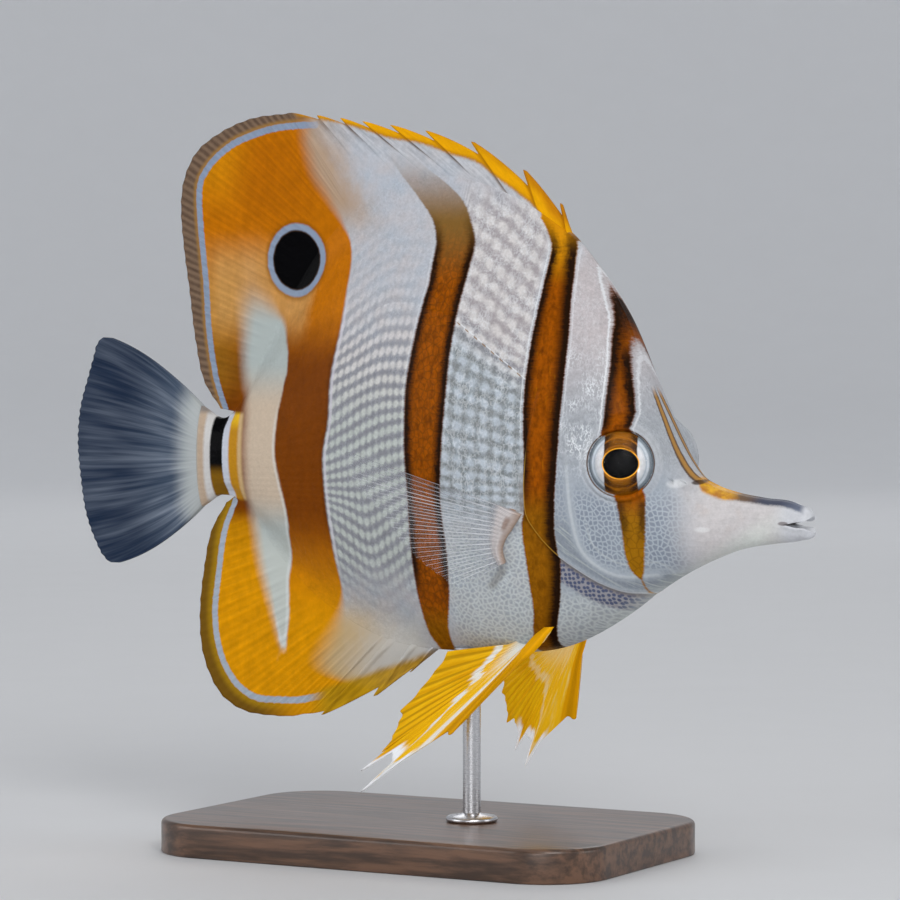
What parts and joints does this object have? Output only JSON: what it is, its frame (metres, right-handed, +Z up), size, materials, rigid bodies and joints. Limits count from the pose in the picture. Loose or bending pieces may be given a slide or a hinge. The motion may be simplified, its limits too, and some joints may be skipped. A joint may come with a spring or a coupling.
{
  "type": "copperband butterflyfish model",
  "caption": "Still life-size copperband butterflyfish with a deep banded body, a long snout, a false eye on the soft dorsal fin and spread fins, held over a plain stand.",
  "frame": {"origin": "centre of the whole part's footprint, on the surface that the stand rests on", "axes": "+X forwards along the fish to its snout, +Z up, and -Y towards its right side"},
  "size_m": [0.1504, 0.056, 0.1326],
  "materials": {
    "skin": "silver white scaled skin with copper orange bands, wet sheen",
    "lips": "pinkish white skin, wet sheen",
    "eye": "clear cornea over a silver and copper iris",
    "fin_gold": "golden orange rayed membrane, satin",
    "fin_clear": "bluish see-through rayed membrane, satin",
    "stand_wood": "dark stained wood, satin lacquer",
    "stand_steel": "brushed steel rod"
  },
  "bodies": {
    "root": {"head": "skin", "trunk": "skin", "tail_root": "skin", "gill_cover_R": "skin", "gill_cover_L": "skin", "upper_jaw": "lips", "lower_jaw": "lips", "eye_R": "eye", "eye_L": "eye", "dorsal_spines": "fin_gold", "dorsal_rays": "fin_gold", "anal_fin": "fin_gold", "pelvic_fin_R": "fin_gold", "pelvic_fin_L": "fin_gold", "caudal_fin": "fin_clear", "pectoral_fin_R": "fin_clear", "pectoral_fin_L": "fin_clear", "stand_base": "stand_wood", "stand_rod": "stand_steel"}
  },
  "joints": []
}
